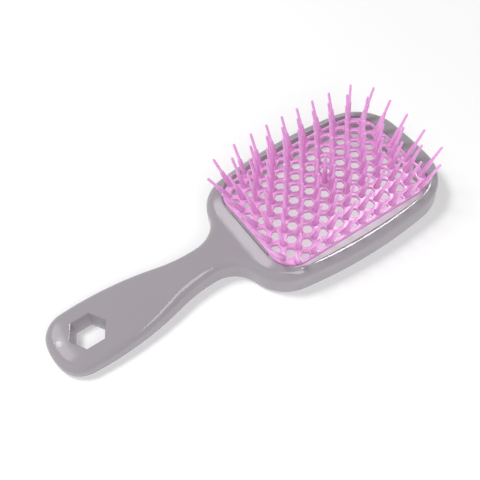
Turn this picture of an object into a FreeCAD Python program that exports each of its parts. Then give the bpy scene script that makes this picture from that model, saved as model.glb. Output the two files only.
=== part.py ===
import FreeCAD, Part
import math
import os

from FreeCAD import Placement, Rotation, Vector

os.makedirs("parts", exist_ok=True)
doc = FreeCAD.newDocument("detangling_brush")
sheet = doc.addObject("Spreadsheet::Sheet", "sizes")

# Driving dimensions, in millimetres and degrees
dimensions = [
    # honeycomb
    ("hole_pitch", 9.1), ("row_pitch", 5.6), ("hole_across_flats", 4.5),
    # pin bed: a domed sheet with a rounded border, and an end wall with a tab at each end
    ("bed_end_margin", 3.65), ("bed_side_margin", 2.6), ("bed_corner_radius", 12.0),
    ("bed_bow_radius", 900.0), ("crown_radius_along", 420.0), ("crown_radius_across", 190.0),
    ("bed_rise", 3.7), ("bed_skin", 1.7), ("border_strip", 1.0), ("border_round", 1.1),
    ("end_wall", 1.2), ("tab_width", 30.0), ("tab_thickness", 1.6), ("tab_reach", 2.4),
    # pins
    ("foot_radius", 1.3), ("foot_top_radius", 1.1), ("foot_length", 9.6),
    ("tip_base_radius", 0.75), ("tip_radius", 0.62), ("pin_length", 19.0), ("pin_root", 1.6),
    ("side_lean", 22.0), ("end_lean", 27.0),
    # frame round the head
    ("rim_height", 13.6), ("side_rim", 5.0), ("end_rim", 9.6), ("neck_rim", 7.2),
    ("end_bow_radius", 240.0), ("end_corner_radius", 25.0), ("side_bow_radius", 230.0),
    ("neck_corner_radius", 21.0), ("opening_corner_radius", 15.0), ("opening_bow_radius", 330.0),
    # neck and handle
    ("flare_radius", 15.0), ("neck_half_width", 8.3), ("neck_reach", 69.0), ("waist_radius", 75.0),
    ("grip_half_width", 16.8), ("grip_inset", 21.0), ("tail_reach", 150.0),
    ("tail_corner_radius", 13.0), ("tail_bow_radius", 32.0), ("tail_height", 8.2),
    ("handle_slope", 6.0), ("brow_radius", 60.0),
    # hanging hole
    ("hole_inset", 19.0), ("hanging_flats_front", 17.4), ("hanging_flats_back", 13.8),
    # shells
    ("seam_height", 3.2), ("top_round", 3.7), ("back_round", 2.6), ("lip_round", 0.8),
    ("hanging_round", 0.9), ("hollow_width", 10.4), ("hollow_length", 42.0), ("hollow_height", 4.4),
    ("hollow_inset", 2.0),
    ("peg_radius", 1.4), ("peg_height", 3.0), ("peg_spread", 28.0), ("peg_inset", 4.4),
    # fits
    ("side_gap", 2.9), ("end_gap", 0.6), ("give", 2.5), ("clearance", 0.3), ("peg_clearance", 0.1),
    ("edge_tolerance", 0.1), ("overrun", 2.0),
]
for number, (alias, value) in enumerate(dimensions, 1):
    sheet.set("A%d" % number, alias)
    sheet.set("B%d" % number, str(value))
    sheet.setAlias("B%d" % number, alias)
doc.recompute()

# Counts of the honeycomb: rows across, holes in the longest row, and how fast the pins' lean grows
row_count = 11
long_row_holes = 10
lean_power = 5


def size(alias):
    return float(sheet.get(alias))


# Places along the length, worked out from the sizes; X is 0 in the middle of the brush
bed_half_length = (long_row_holes - 1) / 2 * size("hole_pitch") + size("bed_end_margin")
bed_half_width = (row_count - 1) / 2 * size("row_pitch") + size("bed_side_margin")
opening_half_length = bed_half_length + size("end_gap")
opening_half_width = bed_half_width + size("side_gap")
head_half_width = opening_half_width + size("side_rim")
head_reach = opening_half_length + size("end_rim")
bed_x = (size("tail_reach") - head_reach) / 2
tail_x = bed_x - size("tail_reach")
hanging_x = tail_x + size("hole_inset")
bed_top = size("rim_height") + size("bed_rise")
tab_bottom = size("seam_height") + size("give") + 2 * size("clearance")


def unit(vector):
    return vector * (1 / vector.Length)


def meet(first, first_radius, second, second_radius, side):
    # The point at both distances from two centres, left (1) or right (-1) of the line joining them
    line = second - first
    along = (line.Length ** 2 + first_radius ** 2 - second_radius ** 2) / (2 * line.Length)
    off = math.sqrt(first_radius ** 2 - along ** 2)
    across = Vector(-line.y, line.x, 0)
    return first + unit(line) * along + unit(across) * off * side


def touch(centre, radius, other):
    return centre + unit(other - centre) * radius


def arc(centre, start, end):
    radius = (start - centre).Length
    middle = centre + unit((start - centre) + (end - centre)) * radius
    return Part.Arc(start, middle, end).toShape()


def mirrored(edge):
    ends = [edge.valueAt(edge.FirstParameter), edge.valueAt(edge.LastParameter)]
    middle = edge.valueAt((edge.FirstParameter + edge.LastParameter) / 2)
    start, centre, end = [Vector(point.x, -point.y, 0) for point in (ends[0], middle, ends[1])]
    return Part.Arc(start, centre, end).toShape()


def face_of(edges):
    return Part.Face(Part.Wire(Part.__sortEdges__(edges)))


def feature(kind, name, **links):
    # A document object; the keywords set its properties, and text values bind them to the sheet
    item = doc.addObject(kind, name)
    for key, value in links.items():
        if isinstance(value, str) and key not in ("DirMode", "Type"):
            item.setExpression(key, value)
        else:
            setattr(item, key, value)
    return item


def outline(name, edges):
    item = doc.addObject("Part::Feature", name)
    item.Shape = face_of(edges)
    return item


def raised(name, base, height, direction=Vector(0, 0, 1)):
    return feature("Part::Extrusion", name, Base=base, DirMode="Custom", Dir=direction, Solid=True,
                   LengthFwd=height)


def at(x, y, z):
    return Placement(Vector(x, y, z), Rotation())


def head_and_handle_edges():
    # Half of the plan outline as a chain of tangent arcs, from the head's end to the tail
    end_radius, side_radius = size("end_bow_radius"), size("side_bow_radius")
    corner, neck_corner, flare = size("end_corner_radius"), size("neck_corner_radius"), size("flare_radius")
    end_centre = Vector(bed_x + head_reach - end_radius, 0, 0)
    side_centre = Vector(bed_x, head_half_width - side_radius, 0)
    corner_centre = meet(end_centre, end_radius - corner, side_centre, side_radius - corner, 1)
    end_touch = touch(end_centre, end_radius, corner_centre)
    side_touch = touch(side_centre, side_radius, corner_centre)
    neck = Vector(bed_x - size("neck_reach"), size("neck_half_width"), 0)
    flare_centre = neck + Vector(0, flare, 0)
    shoulder_centre = meet(side_centre, side_radius - neck_corner, flare_centre, flare + neck_corner, -1)
    shoulder_touch = touch(side_centre, side_radius, shoulder_centre)
    flare_touch = touch(flare_centre, flare, shoulder_centre)
    half = [arc(corner_centre, end_touch, side_touch), arc(side_centre, side_touch, shoulder_touch),
            arc(shoulder_centre, shoulder_touch, flare_touch), arc(flare_centre, flare_touch, neck)]
    tip = Vector(bed_x + head_reach, 0, 0)
    whole = [Part.Arc(end_touch, tip, Vector(end_touch.x, -end_touch.y, 0)).toShape()]
    return half, whole, neck


def handle_edges(neck):
    # The waist and the palm swell are two arcs that share a tangent between neck and grip
    waist, tail_bow, tail_corner = size("waist_radius"), size("tail_bow_radius"), size("tail_corner_radius")
    grip = Vector(tail_x + size("grip_inset"), size("grip_half_width"), 0)
    run, rise = neck.x - grip.x, grip.y - neck.y
    palm = (run ** 2 + rise ** 2) / (2 * rise) - waist
    waist_centre = neck + Vector(0, waist, 0)
    palm_centre = grip - Vector(0, palm, 0)
    swell = touch(waist_centre, waist, palm_centre)
    tail = Vector(tail_x, 0, 0)
    tail_centre = tail + Vector(tail_bow, 0, 0)
    corner_centre = meet(palm_centre, palm - tail_corner, tail_centre, tail_bow - tail_corner, 1)
    palm_touch = touch(palm_centre, palm, corner_centre)
    tail_touch = touch(tail_centre, tail_bow, corner_centre)
    half = [arc(waist_centre, neck, swell), arc(palm_centre, swell, palm_touch),
            arc(corner_centre, palm_touch, tail_touch)]
    whole = [Part.Arc(tail_touch, tail, Vector(tail_touch.x, -tail_touch.y, 0)).toShape()]
    return half, whole


def frame_edges():
    head_half, head_whole, neck = head_and_handle_edges()
    handle_half, handle_whole = handle_edges(neck)
    half = head_half + handle_half
    return half + [mirrored(edge) for edge in half] + head_whole + handle_whole


def ring_edges(half_length, half_width, bow, corner):
    # A rounded rectangle with bowed long sides, centred on the bed
    side_centre = Vector(bed_x, half_width - bow, 0)
    run = half_length - corner
    rise = math.sqrt((bow - corner) ** 2 - run ** 2)
    corner_centre = side_centre + Vector(run, rise, 0)
    side_touch = touch(side_centre, bow, corner_centre)
    end_touch = corner_centre + Vector(corner, 0, 0)

    def flipped(point):
        return Vector(2 * bed_x - point.x, point.y, 0)

    top = Part.Arc(side_touch, Vector(bed_x, half_width, 0), flipped(side_touch)).toShape()
    right = arc(corner_centre, end_touch, side_touch)
    left = arc(flipped(corner_centre), flipped(side_touch), flipped(end_touch))
    ends = []
    for point in (end_touch, flipped(end_touch)):
        ends.append(Part.LineSegment(point, Vector(point.x, -point.y, 0)).toShape())
    half = [top, right, left]
    return half + [mirrored(edge) for edge in half] + ends


def profile_edges():
    # Side view: level over the head, a soft brow at the neck, then a hollow sweep down to the tail
    top, slope, brow = size("rim_height"), math.radians(size("handle_slope")), size("brow_radius")
    edge_y = -head_half_width - size("overrun")
    front_x = bed_x + head_reach + size("overrun")
    back_x = tail_x - size("overrun")
    brow_x = bed_x - opening_half_length - size("neck_rim")

    def point(x, z):
        return Vector(x, edge_y, z)

    def on_brow(angle):
        return point(brow_x - brow * math.sin(angle), top - brow * (1 - math.cos(angle)))

    crest, start, end = point(brow_x, top), on_brow(slope), point(back_x, size("tail_height"))
    chord = end - start
    bend = slope - math.atan2(start.z - end.z, start.x - end.x)
    sag = chord.Length / 2 * math.tan(bend / 2)
    normal = unit(Vector(chord.z, 0, -chord.x))
    middle = start + chord * 0.5 - normal * sag
    corners = [point(back_x, 0), point(front_x, 0), point(front_x, top)]
    lines = [(end, corners[0]), (corners[0], corners[1]), (corners[1], corners[2]), (corners[2], crest)]
    edges = [Part.LineSegment(a, b).toShape() for a, b in lines]
    edges.append(Part.Arc(crest, on_brow(slope / 2), start).toShape())
    edges.append(Part.Arc(start, middle, end).toShape())
    return edges


def edges_on(shape, wire, low, high):
    # Numbers of the edges that run above a plan outline between two heights
    numbers = []
    for number, edge in enumerate(shape.Edges, 1):
        middle = edge.valueAt((edge.FirstParameter + edge.LastParameter) / 2)
        box = edge.BoundBox
        spot = Part.Vertex(Vector(middle.x, middle.y, 0))
        upright = box.ZLength > box.XLength + box.YLength
        if not upright and low <= middle.z <= high and wire.distToShape(spot)[0] < size("edge_tolerance"):
            numbers.append(number)
    return numbers


def hanging_rim(shape):
    # Numbers of the edges round the front of the hanging hole
    numbers = []
    reach = size("hanging_flats_front") / math.sqrt(3)
    for number, edge in enumerate(shape.Edges, 1):
        box = edge.BoundBox
        near = abs(box.Center.x - hanging_x) < reach and abs(box.Center.y) < reach
        if near and box.ZMin > size("seam_height") + size("clearance"):
            numbers.append(number)
    return numbers


def rounded(name, base, rounds):
    item = doc.addObject("Part::Fillet", name)
    item.Base = base
    item.Edges = [(number, size(radius), size(radius)) for numbers, radius in rounds for number in numbers]
    return item


def frame_solid():
    # The whole rounded handle and head, before it is parted into shells
    plan = outline("frame_outline", frame_edges())
    block = raised("frame_block", plan, "sizes.rim_height")
    side = outline("frame_profile", profile_edges())
    width = 2 * (head_half_width + size("overrun"))
    profile = raised("profile_block", side, width, Vector(0, 1, 0))
    envelope = feature("Part::MultiCommon", "frame_envelope", Shapes=[block, profile])
    doc.recompute()
    wire = plan.Shape.OuterWire
    top = edges_on(envelope.Shape, wire, size("seam_height"), size("rim_height"))
    back = edges_on(envelope.Shape, wire, 0, 0)
    return rounded("frame_rounded", envelope, [(top, "top_round"), (back, "back_round")])


def hanging_cut():
    # A hexagonal funnel, wider at the front
    sections = []
    for level, z, flats in (("back", -size("overrun"), "back"), ("waist", size("seam_height"), "back"),
                            ("front", size("rim_height"), "front")):
        sections.append(feature("Part::RegularPolygon", "hanging_" + level, Polygon=6,
                                Circumradius="sizes.hanging_flats_%s / sqrt(3)" % flats,
                                Placement=at(hanging_x, 0, z)))
    return feature("Part::Loft", "hanging_cut", Sections=sections, Solid=True, Ruled=True)


def peg_places():
    far = bed_x + head_reach - size("peg_inset")
    tail = hanging_x + size("hanging_flats_front") / 2 + size("peg_inset")
    neck = bed_x - opening_half_length - size("neck_rim") - size("peg_inset")
    spread = size("peg_spread") / 2
    return [(far, spread), (far, -spread), (neck, 0), (tail, 0)]


def pegs(name, radius, height):
    made = []
    for number, (x, y) in enumerate(peg_places(), 1):
        made.append(feature("Part::Cylinder", "%s_%d" % (name, number), Radius=radius, Height=height,
                            Placement=at(x, y, size("seam_height"))))
    return made


def slots():
    # Room behind each end of the opening for a bed tab and its travel
    made = []
    depth = size("tab_reach") + size("clearance")
    side_y = -size("tab_width") / 2 - size("clearance")
    for name, x in (("slot_far", bed_x + opening_half_length - size("overrun")),
                    ("slot_neck", bed_x - opening_half_length - depth)):
        made.append(feature("Part::Box", name, Length="sizes.tab_reach + sizes.clearance + sizes.overrun",
                            Width="sizes.tab_width + 2 * sizes.clearance",
                            Height="sizes.tab_thickness + sizes.give + 3 * sizes.clearance",
                            Placement=at(x, side_y, size("seam_height"))))
    return made


def handle_hollow():
    start = bed_x - size("neck_reach") - size("hollow_length") + size("hollow_inset")
    return feature("Part::Box", "handle_hollow", Length="sizes.hollow_length", Width="sizes.hollow_width",
                   Height="sizes.hollow_height",
                   Placement=at(start, -size("hollow_width") / 2, size("seam_height")))


def half_space(name, z):
    length = head_reach + size("tail_reach") + 2 * size("overrun")
    width = 2 * (head_half_width + size("overrun"))
    return feature("Part::Box", name, Length=length, Width=width, Height="sizes.rim_height + sizes.overrun",
                   Placement=at(-length / 2, -width / 2, z))


def shells():
    whole = frame_solid()
    ring = outline("opening_outline", ring_edges(opening_half_length, opening_half_width,
                                                 size("opening_bow_radius"), size("opening_corner_radius")))
    opening = raised("opening_cut", ring, "sizes.rim_height + sizes.overrun")
    hanging = hanging_cut()
    below = half_space("below_seam", size("seam_height") - size("rim_height") - size("overrun"))
    above = half_space("above_seam", size("seam_height"))
    sockets = pegs("socket", "sizes.peg_radius + sizes.peg_clearance", "sizes.peg_height + sizes.clearance")
    hollows = [opening, hanging, below, handle_hollow()] + slots() + sockets
    front_cuts = feature("Part::MultiFuse", "front_cuts", Shapes=hollows)
    front = feature("Part::Cut", "front_sharp", Base=whole, Tool=front_cuts)
    doc.recompute()
    top = size("rim_height")
    lip = edges_on(front.Shape, ring.Shape.OuterWire, top - size("lip_round"), top)
    hanging_lip = hanging_rim(front.Shape)
    front_shell = rounded("front_shell", front, [(lip, "lip_round"), (hanging_lip, "hanging_round")])
    back_cuts = feature("Part::MultiFuse", "back_cuts", Shapes=[opening, hanging, above])
    back_plate = feature("Part::Cut", "back_plate", Base=whole, Tool=back_cuts)
    back_pegs = pegs("peg", "sizes.peg_radius", "sizes.peg_height")
    back_shell = feature("Part::MultiFuse", "back_shell", Shapes=[back_plate] + back_pegs)
    return front_shell, back_shell


def crown(name, drop):
    # A shallow dome, curved along and across the bed, lowered by a skin's thickness for the underside
    half_x = bed_half_length + size("overrun")
    half_y = bed_half_width + size("overrun")
    fall_x = half_x ** 2 / (2 * size("crown_radius_along"))
    fall_y = half_y ** 2 / (2 * size("crown_radius_across"))
    # Three poles each way carry a parabola: its ends fall as far as its middle pole rises
    spans = (-1, 0, 1)
    falls = {-1: 1, 0: -1, 1: 1}
    poles = [[Vector(bed_x + i * half_x, j * half_y, bed_top - drop - falls[i] * fall_x - falls[j] * fall_y)
              for j in spans] for i in spans]
    dome = Part.BezierSurface()
    dome.increase(len(spans) - 1, len(spans) - 1)
    for i in range(len(spans)):
        for j in range(len(spans)):
            dome.setPole(i + 1, j + 1, poles[i][j])
    top = doc.addObject("Part::Feature", name + "_top")
    top.Shape = dome.toShape()
    return raised(name, top, bed_top, Vector(0, 0, -1))


def bed_block(name, inset):
    # The bed's plan outline, drawn in by an inset and raised from the tabs to the top of the dome
    plan = outline(name + "_outline", ring_edges(bed_half_length - inset, bed_half_width - inset,
                                                 size("bed_bow_radius"), size("bed_corner_radius") - inset))
    block = raised(name, plan, bed_top - tab_bottom)
    block.Placement = at(0, 0, tab_bottom)
    return block, plan


def domed_bed():
    block, plan = bed_block("bed_block", 0)
    domed = feature("Part::MultiCommon", "bed_domed", Shapes=[block, crown("bed_crown", 0)])
    doc.recompute()
    border = edges_on(domed.Shape, plan.Shape.OuterWire, tab_bottom + size("border_round"), bed_top)
    return rounded("bed_outer", domed, [(border, "border_round")])


def end_boxes(name, reach, bottom, height):
    # One box at each end of the bed, from the inner face of the end wall to a reach past the bed's edge
    made = []
    far_x = bed_x + bed_half_length - size("end_wall")
    neck_x = bed_x - bed_half_length - reach
    for end, x in (("far", far_x), ("neck", neck_x)):
        made.append(feature("Part::Box", "%s_%s" % (name, end), Length=size("end_wall") + reach,
                            Width="sizes.tab_width", Height=height,
                            Placement=at(x, -size("tab_width") / 2, bottom)))
    return made


def hole_sites():
    # Staggered rows, with a shorter one along each border and a closed site in the exact middle
    middle_row = (row_count + 1) // 2
    for row in range(1, row_count + 1):
        border = row in (1, row_count)
        count = long_row_holes - (2 if border else (row + 1) % 2)
        for number in range(count):
            column = number - (count - 1) / 2
            if row != middle_row or column:
                yield column, middle_row - row


def hole_lattice():
    # One hexagonal core with its flats facing along the rows, repeated at every open site
    core = feature("Part::Prism", "hole_core", Polygon=6, Circumradius="sizes.hole_across_flats / sqrt(3)",
                   Height="sizes.rim_height + sizes.bed_rise + sizes.overrun")
    doc.recompute()
    quarter_turn = Rotation(Vector(0, 0, 1), 90)
    cores = []
    for column, row in hole_sites():
        piece = core.Shape.copy()
        site = Vector(bed_x + column * size("hole_pitch"), row * size("row_pitch"), 0)
        piece.Placement = Placement(site, quarter_turn)
        cores.append(piece)
    lattice = doc.addObject("Part::Feature", "hole_lattice")
    lattice.Shape = Part.Compound(cores)
    # The border strip closes the holes of the outer rows
    inside, _ = bed_block("hole_limit", size("border_strip"))
    return feature("Part::Common", "hole_cut", Base=lattice, Tool=inside)


def honeycomb_bed():
    outer = domed_bed()
    walls = feature("Part::MultiFuse", "end_walls",
                    Shapes=end_boxes("end_wall", size("overrun"), tab_bottom - size("overrun"), bed_top))
    hollow = feature("Part::Cut", "bed_hollow", Base=crown("bed_under", size("bed_skin")), Tool=walls)
    sheet_and_walls = feature("Part::Cut", "bed_shell", Base=outer, Tool=hollow)
    tabs = end_boxes("tab", size("end_gap") + size("tab_reach"), tab_bottom, "sizes.tab_thickness")
    blank = feature("Part::MultiFuse", "bed_blank", Shapes=[sheet_and_walls] + tabs)
    bed = feature("Part::Cut", "honeycomb_bed", Base=blank, Tool=hole_lattice())
    doc.recompute()
    return bed, outer


def pin_columns(row):
    # Pins stand midway between holes and at both ends of the shorter rows; the closed site has one too
    count = long_row_holes - row % 2
    columns = [number - (count - 1) / 2 for number in range(count)]
    if row == (row_count + 1) // 2:
        columns.append(0)
    return columns


def crown_height(shape, x, y):
    line = Part.LineSegment(Vector(x, y, 0), Vector(x, y, bed_top + size("overrun"))).toShape()
    return shape.common(line).BoundBox.ZMax


def pin_placement(shape, column, row):
    # Rows fan out evenly across the bed, and along it only the pins near the ends lean out
    x = bed_x + column * size("hole_pitch")
    half_rows = (row_count - 1) / 2
    line = (half_rows + 1 - row) / half_rows
    reach = 2 * column / (long_row_holes - 1)
    lean_x = math.radians(size("end_lean")) * reach * abs(reach) ** (lean_power - 1)
    lean_y = math.radians(size("side_lean")) * line * (1 - abs(reach) ** lean_power / 2)
    axis = unit(Vector(math.tan(lean_x), math.tan(lean_y), 1))
    y = line * half_rows * size("row_pitch")
    return Placement(Vector(x, y, crown_height(shape, x, y)), Rotation(Vector(0, 0, 1), axis))


def pin_rows(outer):
    foot = feature("Part::Cone", "pin_foot", Radius1="sizes.foot_radius", Radius2="sizes.foot_top_radius",
                   Height="sizes.foot_length + sizes.pin_root")
    tip = feature("Part::Cone", "pin_tip", Radius1="sizes.tip_base_radius", Radius2="sizes.tip_radius",
                  Height="sizes.pin_length - sizes.foot_length")
    doc.recompute()
    made = []
    for row in range(1, row_count + 1):
        feet, tips = [], []
        for column in pin_columns(row):
            place = pin_placement(outer.Shape, column, row)
            for stage, lift, pieces in ((foot, -size("pin_root"), feet), (tip, size("foot_length"), tips)):
                piece = stage.Shape.copy()
                piece.Placement = place.multiply(at(0, 0, lift))
                pieces.append(piece)
        item = doc.addObject("Part::Feature", "pin_row_%02d" % row)
        item.Shape = Part.Compound(Part.Compound(feet).cut(outer.Shape).Solids + tips)
        made.append(item)
    return made


def hand_in(items):
    doc.recompute()
    for item in doc.Objects:
        if any(state in ("Invalid", "Error") for state in item.State):
            raise RuntimeError("%s is %s: %s" % (item.Name, item.State, item.getStatusString()))
    for item in items:
        if item.Shape.isNull() or not item.Shape.isValid():
            raise RuntimeError("%s has no valid shape" % item.Name)
        item.Label = item.Name
        item.Shape.exportStep("parts/%s.step" % item.Label)
        print("%s: %d solids, %.1f mm3" % (item.Label, len(item.Shape.Solids), item.Shape.Volume))


front_shell, back_shell = shells()
bed, bed_outer = honeycomb_bed()
hand_in([front_shell, back_shell, bed] + pin_rows(bed_outer))
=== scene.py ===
import math

import bmesh
import bpy
import numpy as np
from mathutils import Matrix, Vector
from mathutils.geometry import delaunay_2d_cdt


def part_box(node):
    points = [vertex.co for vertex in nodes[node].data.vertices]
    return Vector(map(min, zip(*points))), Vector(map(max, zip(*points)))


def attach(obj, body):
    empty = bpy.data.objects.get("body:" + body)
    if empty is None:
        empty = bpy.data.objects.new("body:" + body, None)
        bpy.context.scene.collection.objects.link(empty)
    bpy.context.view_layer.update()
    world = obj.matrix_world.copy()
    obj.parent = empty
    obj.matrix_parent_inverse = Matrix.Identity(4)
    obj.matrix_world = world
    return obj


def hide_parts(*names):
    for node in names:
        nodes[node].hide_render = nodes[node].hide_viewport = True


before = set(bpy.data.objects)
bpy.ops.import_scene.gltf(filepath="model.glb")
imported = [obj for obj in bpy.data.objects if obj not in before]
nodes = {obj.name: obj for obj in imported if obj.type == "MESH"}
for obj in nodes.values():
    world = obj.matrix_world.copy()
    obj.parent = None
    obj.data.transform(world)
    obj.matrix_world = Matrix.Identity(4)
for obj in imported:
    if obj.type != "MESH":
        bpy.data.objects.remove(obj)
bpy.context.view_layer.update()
mm = 0.001
print("frame loaded:", len(nodes), "CAD nodes")


def linear(hexColour):  # sRGB hex to the linear colour that the shaders take
    parts = [int(hexColour[i:i + 2], 16) / 255 for i in (1, 3, 5)]
    curve = [c / 12.92 if c <= 0.04045 else ((c + 0.055) / 1.055) ** 2.4 for c in parts]
    return (*curve, 1.0)


def addNode(tree, kind, inputs=None, **settings):  # one node with its settings, values and links
    node = tree.nodes.new(kind)
    for name, value in settings.items():
        setattr(node, name, value)
    for name, value in (inputs or {}).items():
        if isinstance(value, bpy.types.NodeSocket):
            tree.links.new(value, node.inputs[name])
        else:
            node.inputs[name].default_value = value
    return node


def meshObject(name, points, faces):
    mesh = bpy.data.meshes.new(name)
    mesh.from_pydata([tuple(p) for p in points], [], faces)
    piece = bpy.data.objects.new(name, mesh)
    bpy.context.scene.collection.objects.link(piece)
    return piece


# Materials

frameLook = {  # injection-moulded ABS, high gloss: clear reflections, a trace of orange peel
    "colour": "#958F95", "flowColour": "#99939A", "flowMm": 38.0,
    "roughness": (0.03, 0.055), "hazeMm": 9.0,
    "peelMm": 3.2, "peelHeightMm": 0.003, "ior": 1.54,
}
bedLook = {  # moulded soft nylon, satin: broad highlights, light glows through the thin walls
    "colour": "#E09DD4", "flowColour": "#E5A9DC", "flowMm": 16.0,
    "roughness": (0.19, 0.25), "hazeMm": 5.0,
    "peelMm": 1.1, "peelHeightMm": 0.005, "ior": 1.53,
    "glowWeight": 0.5, "glowMm": (3.0, 1.5, 2.4),
}
moulding = {  # octaves and bend of the fine patterns, the same in both plastics
    "flowDetail": 2.0, "flowBend": 0.6, "hazeDetail": 4.0, "peelDetail": 1.0,
}


def mouldedPlastic(name, look):
    material = bpy.data.materials.new(name)
    material.use_nodes = True
    tree = material.node_tree
    tree.nodes.clear()
    place = addNode(tree, "ShaderNodeTexCoord").outputs["Object"]
    flow = addNode(tree, "ShaderNodeTexNoise", {
        "Vector": place, "Scale": 1 / (look["flowMm"] * mm),
        "Detail": moulding["flowDetail"], "Distortion": moulding["flowBend"]})
    tint = addNode(tree, "ShaderNodeMix", {  # 6 and 7 are its two colours
        "Factor": flow.outputs["Fac"], 6: linear(look["colour"]), 7: linear(look["flowColour"]),
    }, data_type="RGBA")
    haze = addNode(tree, "ShaderNodeTexNoise", {
        "Vector": place, "Scale": 1 / (look["hazeMm"] * mm), "Detail": moulding["hazeDetail"]})
    gloss = addNode(tree, "ShaderNodeMapRange", {
        "Value": haze.outputs["Fac"], "To Min": look["roughness"][0], "To Max": look["roughness"][1]})
    peel = addNode(tree, "ShaderNodeTexNoise", {
        "Vector": place, "Scale": 1 / (look["peelMm"] * mm), "Detail": moulding["peelDetail"]})
    bump = addNode(tree, "ShaderNodeBump", {
        "Height": peel.outputs["Fac"], "Distance": look["peelHeightMm"] * mm, "Strength": 1.0})
    shader = addNode(tree, "ShaderNodeBsdfPrincipled", {
        "Base Color": tint.outputs[2], "Roughness": gloss.outputs["Result"],
        "IOR": look["ior"], "Normal": bump.outputs["Normal"]})
    if "glowWeight" in look:
        shader.inputs["Subsurface Weight"].default_value = look["glowWeight"]
        shader.inputs["Subsurface Radius"].default_value = look["glowMm"]
        shader.inputs["Subsurface Scale"].default_value = mm
    addNode(tree, "ShaderNodeOutputMaterial", {"Surface": shader.outputs["BSDF"]})
    return material


greyAbs = mouldedPlastic("grey_abs_high_gloss", frameLook)
pinkNylon = mouldedPlastic("pink_nylon_satin", bedLook)
print("materials made")


# Frame shells, whose CAD shape is right

for shellName in ("front_shell", "back_shell"):
    shell = nodes[shellName]
    shell.data.materials.clear()
    shell.data.materials.append(greyAbs)
print("shells dressed")


# Honeycomb bed

bedSizes = {  # millimetres
    "holePitch": 9.1, "rowPitch": 5.6, "rowCount": 11, "longRow": 10, "borderRow": 8,
    "acrossFlats": 4.5, "holeCorner": 0.6, "borderCut": 0.75, "lip": 0.45,
    "halfLength": 44.6, "halfWidth": 30.6, "corner": 12.0, "bow": 900.0,
    "crownAlong": 420.0, "crownAcross": 190.0, "skin": 1.7, "borderRound": 0.55,
    "endWall": 1.2, "tabWidth": 30.0, "tabThick": 1.6, "tabEdge": 0.2,
    "meshStep": 1.5, "outlineSteps": 176, "weld": 0.004, "fillTolerance": 1e-5,
    "edgeDegrees": (0, 30, 60, 90), "tabEdgeSteps": 2,
}
bedLow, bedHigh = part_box("honeycomb_bed")
bedCentre = Vector(((bedLow.x + bedHigh.x) / 2, 0, bedHigh.z)) / mm


def holeSites(b):  # places of the whole holes, and of those that the border strip cuts short
    whole, cut = [], []
    for row in range(b["rowCount"]):
        fromMiddle = row - b["rowCount"] // 2
        atBorder = abs(fromMiddle) == b["rowCount"] // 2
        count = b["borderRow"] if atBorder else b["longRow"] - (fromMiddle + 1) % 2
        for i in range(count):
            x = (i - (count - 1) / 2) * b["holePitch"]
            if (fromMiddle, x) != (0, 0):  # the middle site is closed
                (cut if atBorder else whole).append((x, -fromMiddle * b["rowPitch"]))
    return np.array(whole), np.array(cut)


def holeCorners(b, cutShort):  # a hexagon with corners along Y, or one whose outer corner is cut off
    flat = b["acrossFlats"] / 2
    side = flat * math.tan(math.pi / 6)
    outer = [(flat, side), (0, 2 * side), (-flat, side)]
    if cutShort:
        outer = [(flat, b["borderCut"]), (-flat, b["borderCut"])]
    return np.array(outer + [(-flat, -side), (0, -2 * side), (flat, -side)])


def roundedRing(corners, rounding, grow):  # three points to each rounded corner, counter-clockwise
    ring = []
    for k, corner in enumerate(corners):
        ways = (corner - corners[k - 1], corners[(k + 1) % len(corners)] - corner)
        first, last = (np.array((way[1], -way[0])) / np.hypot(*way) for way in ways)
        centre = corner - (first + last) * rounding / (1 + first @ last)
        for out in (first, (first + last) / np.hypot(*(first + last)), last):
            ring.append(centre + out * (rounding + grow))
    return np.array(ring)


def borderDepth(b, xy):  # distance inward from the bed's outline
    x, y = np.abs(xy[:, 0]), np.abs(xy[:, 1])
    overX = x - b["halfLength"] + b["corner"]
    overY = y - b["halfWidth"] + x ** 2 / (2 * b["bow"]) + b["corner"]
    outside = np.hypot(np.maximum(overX, 0), np.maximum(overY, 0))
    inside = np.minimum(np.maximum(overX, overY), 0)
    return b["corner"] - outside - inside


def outlineRing(b, inset, count):  # rounded rectangle with bowed long sides, evenly stepped
    hx, hy, r = b["halfLength"] - inset, b["halfWidth"] - inset, b["corner"] - inset
    straightX, straightY, quarter = 2 * (hx - r), 2 * (hy - r), r * math.pi / 2
    total = 2 * (straightX + straightY) + 4 * quarter
    points = []
    for k in range(count):
        along = total * k / count
        for corner in range(4):
            straight = straightY if corner % 2 == 0 else straightX
            turn = corner * math.pi / 2
            halfA, halfB = (hx, hy) if corner % 2 == 0 else (hy, hx)
            if along <= straight:
                u, v = halfA, along - straight / 2
            elif along <= straight + quarter:
                angle = (along - straight) / r
                u, v = halfA - r + r * math.cos(angle), halfB - r + r * math.sin(angle)
            else:
                along -= straight + quarter
                continue
            points.append((u * math.cos(turn) - v * math.sin(turn),
                           u * math.sin(turn) + v * math.cos(turn)))
            break
    points = np.array(points)
    bow = np.sign(points[:, 1]) * points[:, 0] ** 2 / (2 * b["bow"])
    points[:, 1] -= bow * np.clip((np.abs(points[:, 1]) - (hy - r)) / r, 0, 1)
    return points


def crown(b, xy):  # height of the domed upper skin
    return bedCentre.z - xy[:, 0] ** 2 / (2 * b["crownAlong"]) - xy[:, 1] ** 2 / (2 * b["crownAcross"])


def roundedEdge(b, radius):  # inset and height down a sheet's edge, rounded at the top and at the underside
    turns = [math.radians(a) for a in b["edgeDegrees"]]
    upper = [(radius * (1 - math.sin(a)), -radius * (1 - math.cos(a))) for a in turns]
    return upper + [(inset, -b["skin"] - z) for inset, z in reversed(upper)]


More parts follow.
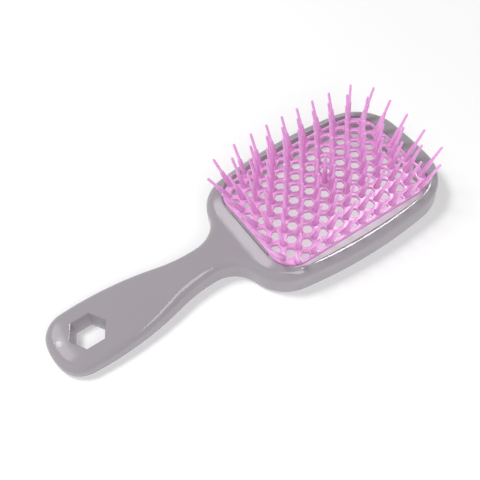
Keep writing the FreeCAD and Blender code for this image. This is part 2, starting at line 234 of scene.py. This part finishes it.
def stackedRings(rings):  # bands of faces between rings of as many points each
    count = len(rings[0])
    faces = []
    for level in range(len(rings) - 1):
        for k in range(count):
            a, c = level * count + k, level * count + (k + 1) % count
            faces.append((a, a + count, c + count, c))
    return [tuple(p) for ring in rings for p in ring], faces


def levelRing(ring, z):
    return np.column_stack([ring, np.full(len(ring), z)])


def flatSkin(b, holes, outline):  # the sheet between the holes, as triangles
    points, edges = [], []
    for ring in [outline] + holes:
        first = len(points)
        points += [*ring]
        edges += [(first + k, first + (k + 1) % len(ring)) for k in range(len(ring))]
    step = b["meshStep"]
    rows, columns = (int(b[side] / step) + 1 for side in ("halfWidth", "halfLength"))
    fill = np.array([((x + row % 2 / 2) * step, row * step)
                     for row in range(-rows, rows + 1) for x in range(-columns, columns + 1)])
    middles = np.array([ring.mean(0) for ring in holes])
    nearest = np.min(np.hypot(*(fill[:, None] - middles[None]).transpose(2, 0, 1)), 1)
    holeReach = np.max(np.hypot(*holes[0].T - middles[0][:, None]))
    clearOfHoles = nearest > holeReach + b["lip"]
    clearOfBorder = borderDepth(b, fill) > b["borderRound"] + b["lip"]
    points += [*fill[clearOfHoles & clearOfBorder]]
    made = delaunay_2d_cdt([Vector(p) for p in points], edges, [], 0, b["fillTolerance"])
    placed = np.array([tuple(p) for p in made[0]])
    corners = np.array(made[2])
    middle = placed[corners].mean(1)
    kept = np.ones(len(corners), bool)
    for ring in holes:
        along = np.roll(ring, -1, 0) - ring
        offset = middle[:, None] - ring[None]
        kept &= (along[:, 0] * offset[..., 1] - along[:, 1] * offset[..., 0] < 0).any(1)
    return placed, corners[kept]


def holeLip(b, corners):  # one hole's rounded lip, wall and lower lip
    edge = roundedEdge(b, b["lip"])
    return stackedRings([levelRing(roundedRing(corners, b["holeCorner"], grow), z) for grow, z in edge])


def honeycombTree(material):
    tree = bpy.data.node_groups.new("honeycombSheet", "GeometryNodeTree")
    face = tree.interface
    kinds = {"Skin": "Geometry", "Sites": "Object", "Lip": "Object",
             "Border sites": "Object", "Border lip": "Object", "Weld distance": "Float"}
    for name, kind in kinds.items():
        face.new_socket(name, in_out="INPUT", socket_type="NodeSocket" + kind)
    face.new_socket("Sheet", in_out="OUTPUT", socket_type="NodeSocketGeometry")
    given = addNode(tree, "NodeGroupInput").outputs
    turn = addNode(tree, "GeometryNodeInputNamedAttribute", {"Name": "turn"}, data_type="FLOAT_VECTOR")
    joined = addNode(tree, "GeometryNodeJoinGeometry")
    tree.links.new(given["Skin"], joined.inputs[0])
    for siteName, lipName in (("Sites", "Lip"), ("Border sites", "Border lip")):
        sites = addNode(tree, "GeometryNodeObjectInfo", {"Object": given[siteName]})
        lip = addNode(tree, "GeometryNodeObjectInfo", {"Object": given[lipName], "As Instance": True})
        places = addNode(tree, "GeometryNodeMeshToPoints", {"Mesh": sites.outputs["Geometry"]})
        lips = addNode(tree, "GeometryNodeInstanceOnPoints", {
            "Points": places.outputs["Points"], "Instance": lip.outputs["Geometry"],
            "Rotation": turn.outputs["Attribute"]})
        real = addNode(tree, "GeometryNodeRealizeInstances", {"Geometry": lips.outputs["Instances"]})
        tree.links.new(real.outputs["Geometry"], joined.inputs[0])
    welded = addNode(tree, "GeometryNodeMergeByDistance", {
        "Geometry": joined.outputs["Geometry"], "Distance": given["Weld distance"]})
    painted = addNode(tree, "GeometryNodeSetMaterial", {
        "Geometry": welded.outputs["Geometry"], "Material": material})
    addNode(tree, "NodeGroupOutput", {"Sheet": painted.outputs["Geometry"]})
    return tree


def growWith(piece, tree, values):  # runs the tree on the piece and keeps the result as a plain mesh
    modifier = piece.modifiers.new(tree.name, "NODES")
    modifier.node_group = tree
    for item in tree.interface.items_tree:
        if item.item_type == "SOCKET" and item.in_out == "INPUT" and item.name in values:
            modifier[item.identifier] = values[item.name]
    bpy.context.view_layer.update()
    grown = bpy.data.meshes.new_from_object(piece.evaluated_get(bpy.context.evaluated_depsgraph_get()))
    piece.modifiers.remove(modifier)
    piece.data = grown


def flatSheet(b, holes):  # both skins and the rounded border between them, not bent yet
    edge = [(outlineRing(b, inset, b["outlineSteps"]), z) for inset, z in roundedEdge(b, b["borderRound"])]
    flat, corners = flatSkin(b, holes, edge[0][0])
    points, faces = stackedRings([levelRing(ring, z) for ring, z in edge])
    for z, turned in ((0, 1), (-b["skin"], -1)):
        first = len(points)
        points += [*levelRing(flat, z)]
        faces += [tuple(first + i for i in corner[::turned]) for corner in corners.tolist()]
    return meshObject("honeycomb_bed_dressed", points, faces)


def addTab(bm, b, end):  # the wall under one end of the sheet, and the tab it carries under the frame
    low, reach = bedLow.z / mm, bedHigh.x / mm - bedCentre.x
    inner, outer = b["halfLength"] - b["endWall"], b["halfLength"] - b["tabEdge"]
    top = crown(b, np.array([[outer, 0]]))[0] - b["skin"] + b["tabEdge"]
    section = [(inner, low), (reach, low), (reach, low + b["tabThick"]), (outer, low + b["tabThick"]),
               (outer, top), (inner, top)]
    halfTab = b["tabWidth"] / 2
    sides = [[bm.verts.new((end * x, y, z)) for x, z in section] for y in (-halfTab, halfTab)]
    faces = [bm.faces.new(sides[0]), bm.faces.new(sides[1][::-1])]
    for k in range(len(section)):
        n = (k + 1) % len(section)
        faces.append(bm.faces.new((sides[0][k], sides[1][k], sides[1][n], sides[0][n])))
    edges = list({edge for face in faces for edge in face.edges})
    bmesh.ops.bevel(bm, geom=edges, offset=b["tabEdge"], segments=b["tabEdgeSteps"],
                    profile=0.5, affect="EDGES")


def honeycombBed(b):
    whole, cut = holeSites(b)
    wholeCorners, cutCorners = (holeCorners(b, cutShort) for cutShort in (False, True))
    holes = [roundedRing(wholeCorners, b["holeCorner"], b["lip"]) + site for site in whole]
    holes += [roundedRing(cutCorners, b["holeCorner"], b["lip"]) * np.sign(site[1]) + site for site in cut]
    piece = flatSheet(b, holes)
    helpers = {
        "Sites": meshObject("hole_sites", [(x, y, 0) for x, y in whole], []),
        "Lip": meshObject("hole_lip", *holeLip(b, wholeCorners)),
        "Border sites": meshObject("border_hole_sites", [(x, y, 0) for x, y in cut], []),
        "Border lip": meshObject("border_hole_lip", *holeLip(b, cutCorners)),
    }
    turns = helpers["Border sites"].data.attributes.new("turn", "FLOAT_VECTOR", "POINT")
    halfTurns = [(0, 0, 0 if y > 0 else math.pi) for x, y in cut]
    turns.data.foreach_set("vector", np.array(halfTurns, np.float32).ravel())
    growWith(piece, honeycombTree(pinkNylon), {**helpers, "Weld distance": b["weld"]})
    for helper in helpers.values():
        bpy.data.objects.remove(helper)
    bm = bmesh.new()
    bm.from_mesh(piece.data)
    lift = crown(b, np.array([tuple(vert.co) for vert in bm.verts]))
    for vert, rise in zip(bm.verts, lift):
        vert.co.z += rise
    for end in (-1, 1):
        addTab(bm, b, end)
    bmesh.ops.recalc_face_normals(bm, faces=bm.faces)
    for face in bm.faces:
        face.smooth = True
    for vert in bm.verts:
        vert.co = Vector((vert.co.x + bedCentre.x, vert.co.y, vert.co.z)) * mm
    bm.to_mesh(piece.data)
    bm.free()
    return piece


bed = honeycombBed(bedSizes)
print("honeycomb bed made:", len(bed.data.polygons), "faces")


# Pins

pinSizes = {  # millimetres
    "length": 19.0, "footLength": 9.6, "footBase": 1.3, "footTop": 1.1, "tipBase": 0.75, "tipTop": 0.62,
    "flare": 0.4, "flareHeight": 1.5, "flareCurve": 2.2, "flareShares": (0.25, 0.5, 0.75, 1.0),
    "shoulder": 0.35, "shoulderDropShare": 0.3, "shoulderRiseShare": 0.25, "tipDegrees": (0, 30, 60),
    "sink": 0.9, "sides": 14, "slimmest": 0.9, "rowWeld": 0.001,
}


def pinProfile(p):  # radius and height from the root to the rounded tip
    profile = [(p["footBase"] + p["flare"], -p["sink"]), (p["footBase"] + p["flare"], 0)]
    for share in p["flareShares"]:
        spread = p["flare"] * (1 - share) ** p["flareCurve"]
        profile.append((p["footBase"] + spread, p["flareHeight"] * share))
    drop, rise = (p["shoulder"] * p[share] for share in ("shoulderDropShare", "shoulderRiseShare"))
    profile += [(p["footTop"], p["footLength"] - p["shoulder"]),
                (p["footTop"] - drop, p["footLength"] - drop),
                (p["tipBase"], p["footLength"] + rise)]
    r = p["tipTop"]
    for angle in p["tipDegrees"]:
        a = math.radians(angle)
        profile.append((r * math.cos(a), p["length"] - r + r * math.sin(a)))
    return profile


def lathe(name, profile, sides, top):  # the profile turned about Z, closed at both ends
    points, faces = [], []
    turns = [2 * math.pi * k / sides for k in range(sides)]
    for radius, height in profile:
        points += [(radius * math.cos(turn), radius * math.sin(turn), height) for turn in turns]
    for level in range(len(profile) - 1):
        for k in range(sides):
            a, c = level * sides + k, level * sides + (k + 1) % sides
            faces.append((a, c, c + sides, a + sides))
    faces.append(tuple(reversed(range(sides))))
    points.append((0, 0, top))
    ring = (len(profile) - 1) * sides
    faces += [(ring + k, ring + (k + 1) % sides, len(points) - 1) for k in range(sides)]
    piece = meshObject(name, points, faces)
    for face in piece.data.polygons:
        face.use_smooth = True
    return piece


def pinAxes(row, p):  # base point and direction of every pin in a CAD row, from its slim upper stages
    bm = bmesh.new()
    bm.from_mesh(row.data)
    bmesh.ops.remove_doubles(bm, verts=bm.verts, dist=p["rowWeld"] * mm)
    found, seen = [], set()
    for start in bm.verts:
        if start in seen:
            continue
        island, queue = [], [start]
        seen.add(start)
        while queue:
            vert = queue.pop()
            island.append(vert.co / mm)
            for other in (edge.other_vert(vert) for edge in vert.link_edges):
                if other not in seen:
                    seen.add(other)
                    queue.append(other)
        cloud = np.array([tuple(v) for v in island])
        middle = cloud.mean(0)
        axis = np.linalg.svd(cloud - middle, full_matrices=False)[2][0]
        axis = axis * np.sign(axis[2])
        along = (cloud - middle) @ axis
        radius = np.linalg.norm(cloud - middle - np.outer(along, axis), axis=1).max()
        if radius < p["slimmest"]:
            found.append((middle + axis * (along.max() - p["length"]), axis))
    bm.free()
    return found


def pinFieldTree(material):
    tree = bpy.data.node_groups.new("pinField", "GeometryNodeTree")
    face = tree.interface
    for name, kind in (("Places", "Geometry"), ("Pin", "Object")):
        face.new_socket(name, in_out="INPUT", socket_type="NodeSocket" + kind)
    face.new_socket("Pins", in_out="OUTPUT", socket_type="NodeSocketGeometry")
    given = addNode(tree, "NodeGroupInput").outputs
    pin = addNode(tree, "GeometryNodeObjectInfo", {"Object": given["Pin"], "As Instance": True})
    places = addNode(tree, "GeometryNodeMeshToPoints", {"Mesh": given["Places"]})
    axis = addNode(tree, "GeometryNodeInputNamedAttribute", {"Name": "axis"}, data_type="FLOAT_VECTOR")
    lean = addNode(tree, "FunctionNodeAlignRotationToVector", {
        "Vector": axis.outputs["Attribute"]}, axis="Z")
    pins = addNode(tree, "GeometryNodeInstanceOnPoints", {
        "Points": places.outputs["Points"], "Instance": pin.outputs["Geometry"],
        "Rotation": lean.outputs["Rotation"]})
    real = addNode(tree, "GeometryNodeRealizeInstances", {"Geometry": pins.outputs["Instances"]})
    painted = addNode(tree, "GeometryNodeSetMaterial", {
        "Geometry": real.outputs["Geometry"], "Material": material})
    addNode(tree, "NodeGroupOutput", {"Pins": painted.outputs["Geometry"]})
    return tree


def pinField(p, rowNames):
    axes = [pin for name in rowNames for pin in pinAxes(nodes[name], p)]
    piece = meshObject("pins", [base for base, way in axes], [])
    attribute = piece.data.attributes.new("axis", "FLOAT_VECTOR", "POINT")
    attribute.data.foreach_set("vector", np.array([way for base, way in axes], np.float32).ravel())
    master = lathe("pin", pinProfile(p), p["sides"], p["length"])
    growWith(piece, pinFieldTree(pinkNylon), {"Pin": master})
    bpy.data.objects.remove(master)
    piece.data.transform(Matrix.Scale(mm, 4))
    return piece, len(axes)


rowNames = sorted(name for name in nodes if name.startswith("pin_row_"))
pins, pinCount = pinField(pinSizes, rowNames)
print("pins made:", pinCount)

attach(bed, "bed")
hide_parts("honeycomb_bed")
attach(pins, "bed")
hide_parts(*rowNames)
pins.visible_glossy = False  # the frame's gloss shows the studio, not the pins


# Studio: pale floor, soft light, the photograph's camera

studio = {
    "floorMm": 6000.0, "floorDropMm": 0.02, "floorColour": "#FDFDFD",
    "floorBounce": 1.5,  # the paper lights the object from below
    "floorSeenGlow": 0.12, "shadowMm": (190.0, 420.0),  # shadow shows near, and fades out by the second
    # under the bed: painted shade, a weaker bounce where the bed shades the paper, and a painted glow that
    # keeps the paper seen through the holes light grey
    "paintedShadeBounce": 0.5, "paintedSeenGlow": 0.45, "paintedPatchMm": (30.0, 58.0), "paintedPatchNarrow": 1.55,
    "worldColour": "#FFFFFF", "worldStrength": 0.42,
    "lights": {  # middle from the bed's middle, width and depth in millimetres, turn in degrees, brightness
        "key": ((-520.0, 560.0, 1150.0), (450.0, 450.0), 0.0, 19.6),
        "fill": ((-150.0, -800.0, 600.0), (700.0, 700.0), 0.0, 3.0),
    },
    "reflectors": {  # the same, but seen only in the gloss
        "neck_strip": ((195.0, 437.0, 683.0), (20.0, 152.0), 0.0, 4.4),
        "bed_strip": ((376.0, 171.0, 683.0), (400.0, 130.0), 17.0, 18.0),
        "tail_card": ((-138.0, 436.0, 683.0), (16.0, 68.0), 0.0, 2.9),
        "tail_spot": ((-138.0, 433.0, 676.0), (5.0, 7.0), 0.0, 14.0),
        "grip_strip": ((-13.0, -135.0, 283.0), (56.0, 330.0), 0.0, 4.0),
    },
}
view = {
    "lensMm": 60.0, "sensorMm": 36.0, "azimuth": -28.967, "elevation": 54.426, "roll": -6.0,
    "distanceMm": 383.9, "aimPixel": (324.6, 181.1), "framePixels": 480, "clipMm": (10.0, 20000.0),
}


def seenDirectly(tree):  # 1 for camera, mirror and see-through rays, 0 for the rays that light things
    path = addNode(tree, "ShaderNodeLightPath").outputs
    seen = path["Is Camera Ray"]
    for ray in ("Is Glossy Ray", "Is Transmission Ray"):
        seen = addNode(tree, "ShaderNodeMath", {0: seen, 1: path[ray]}, operation="MAXIMUM").outputs[0]
    return seen


def makeWorld(s):
    world = bpy.data.worlds.new("studio")
    bpy.context.scene.world = world
    world.use_nodes = True
    tree = world.node_tree
    tree.nodes.clear()
    strength = addNode(tree, "ShaderNodeMapRange", {
        "Value": seenDirectly(tree), "To Min": s["worldStrength"], "To Max": 1.0})
    light = addNode(tree, "ShaderNodeBackground", {
        "Color": linear(s["worldColour"]), "Strength": strength.outputs["Result"]})
    addNode(tree, "ShaderNodeOutputWorld", {"Surface": light.outputs["Background"]})


def makeFloor(s):  # paper sweep: white away from the object, with its shadow left near it, painted shade and a painted grey glow under the bed, clear from below
    half, low = s["floorMm"] * mm / 2, -s["floorDropMm"] * mm
    corners = [(-half, -half, low), (half, -half, low), (half, half, low), (-half, half, low)]
    floor = meshObject("floor", corners, [(0, 1, 2, 3)])
    material = bpy.data.materials.new("white_paper_sweep")
    material.use_nodes = True
    tree = material.node_tree
    tree.nodes.clear()
    seen = seenDirectly(tree)
    place = addNode(tree, "ShaderNodeTexCoord").outputs["Object"]
    away = addNode(tree, "ShaderNodeVectorMath", {0: place}, operation="LENGTH").outputs["Value"]
    fromBed = addNode(tree, "ShaderNodeVectorMath", {
        0: place, 1: (1, s["paintedPatchNarrow"], 1), 2: (-bedCentre.x * mm, 0, 0)}, operation="MULTIPLY_ADD")
    past = addNode(tree, "ShaderNodeMapRange", {  # 0 on the paper under the bed, 1 outside the head: the patch of painted shade and glow
        "Value": addNode(tree, "ShaderNodeVectorMath", {0: fromBed.outputs["Vector"]},
                         operation="LENGTH").outputs["Value"],
        "From Min": s["paintedPatchMm"][0] * mm, "From Max": s["paintedPatchMm"][1] * mm}).outputs["Result"]
    # painted shade: the paper's bounce light is turned down under the bed, as if the bed shaded it
    bounce = addNode(tree, "ShaderNodeMapRange", {
        "Value": past, "To Min": s["paintedShadeBounce"], "To Max": s["floorBounce"]})
    # painted light: under the bed the paper seen through the holes gets a grey glow
    leastGlow = addNode(tree, "ShaderNodeMapRange", {
        "Value": past, "To Min": s["paintedSeenGlow"], "To Max": s["floorSeenGlow"]})
    nearGlow = addNode(tree, "ShaderNodeMapRange", {
        "Value": away, "From Min": s["shadowMm"][0] * mm, "From Max": s["shadowMm"][1] * mm,
        "To Min": leastGlow.outputs["Result"], "To Max": 1.0})
    share = addNode(tree, "ShaderNodeMapRange", {
        "Value": seen, "To Min": 1.0, "To Max": nearGlow.outputs["Result"]})
    strength = addNode(tree, "ShaderNodeMapRange", {
        "Value": seen, "To Min": bounce.outputs["Result"], "To Max": 1.0})
    paper = addNode(tree, "ShaderNodeBsdfDiffuse", {"Color": linear(s["floorColour"])})
    glow = addNode(tree, "ShaderNodeEmission", {"Strength": strength.outputs["Result"]})
    upper = addNode(tree, "ShaderNodeMixShader", {
        "Fac": share.outputs["Result"], 1: paper.outputs["BSDF"], 2: glow.outputs["Emission"]})
    surface = addNode(tree, "ShaderNodeMixShader", {
        "Fac": addNode(tree, "ShaderNodeNewGeometry").outputs["Backfacing"],
        1: upper.outputs["Shader"], 2: addNode(tree, "ShaderNodeBsdfTransparent").outputs["BSDF"]})
    addNode(tree, "ShaderNodeOutputMaterial", {"Surface": surface.outputs["Shader"]})
    floor.data.materials.append(material)


def makePanel(name, middle, size, turn, brightness):  # a level panel that faces down
    data = bpy.data.lights.new(name, "AREA")
    data.shape = "RECTANGLE"
    data.size, data.size_y = (side * mm for side in size)
    data.energy = brightness * math.pi * data.size * data.size_y
    lamp = bpy.data.objects.new(name, data)
    lamp.location = (bedCentre + Vector(middle)) * mm
    lamp.rotation_euler.z = math.radians(turn)
    bpy.context.scene.collection.objects.link(lamp)
    return lamp


def makeCamera(v):
    az, el, roll = (math.radians(v[name]) for name in ("azimuth", "elevation", "roll"))
    back = Vector((math.sin(az) * math.cos(el), -math.cos(az) * math.cos(el), math.sin(el)))
    level = (-back).cross(Vector((0, 0, 1))).normalized()
    rise = level.cross(-back)
    right = level * math.cos(roll) + rise * math.sin(roll)
    up = rise * math.cos(roll) - level * math.sin(roll)
    focal = v["lensMm"] / v["sensorMm"] * v["framePixels"]
    perPixel = v["distanceMm"] / focal
    offX, offY = (pixel - v["framePixels"] / 2 for pixel in v["aimPixel"])
    place = (bedCentre - right * offX * perPixel + up * offY * perPixel + back * v["distanceMm"]) * mm
    data = bpy.data.cameras.new("photo_view")
    data.lens, data.sensor_width = v["lensMm"], v["sensorMm"]
    data.clip_start, data.clip_end = (clip * mm for clip in v["clipMm"])
    camera = bpy.data.objects.new("photo_view", data)
    camera.matrix_world = Matrix.Translation(place) @ Matrix((right, up, back)).transposed().to_4x4()
    bpy.context.scene.collection.objects.link(camera)
    bpy.context.scene.camera = camera


makeWorld(studio)
makeFloor(studio)
for panelName, panel in studio["lights"].items():
    makePanel(panelName, *panel).visible_glossy = False
for panelName, panel in studio["reflectors"].items():
    reflector = makePanel(panelName, *panel)
    reflector.visible_diffuse = reflector.data.use_shadow = False
makeCamera(view)
bpy.context.scene.view_settings.view_transform = "Standard"
print("studio ready")
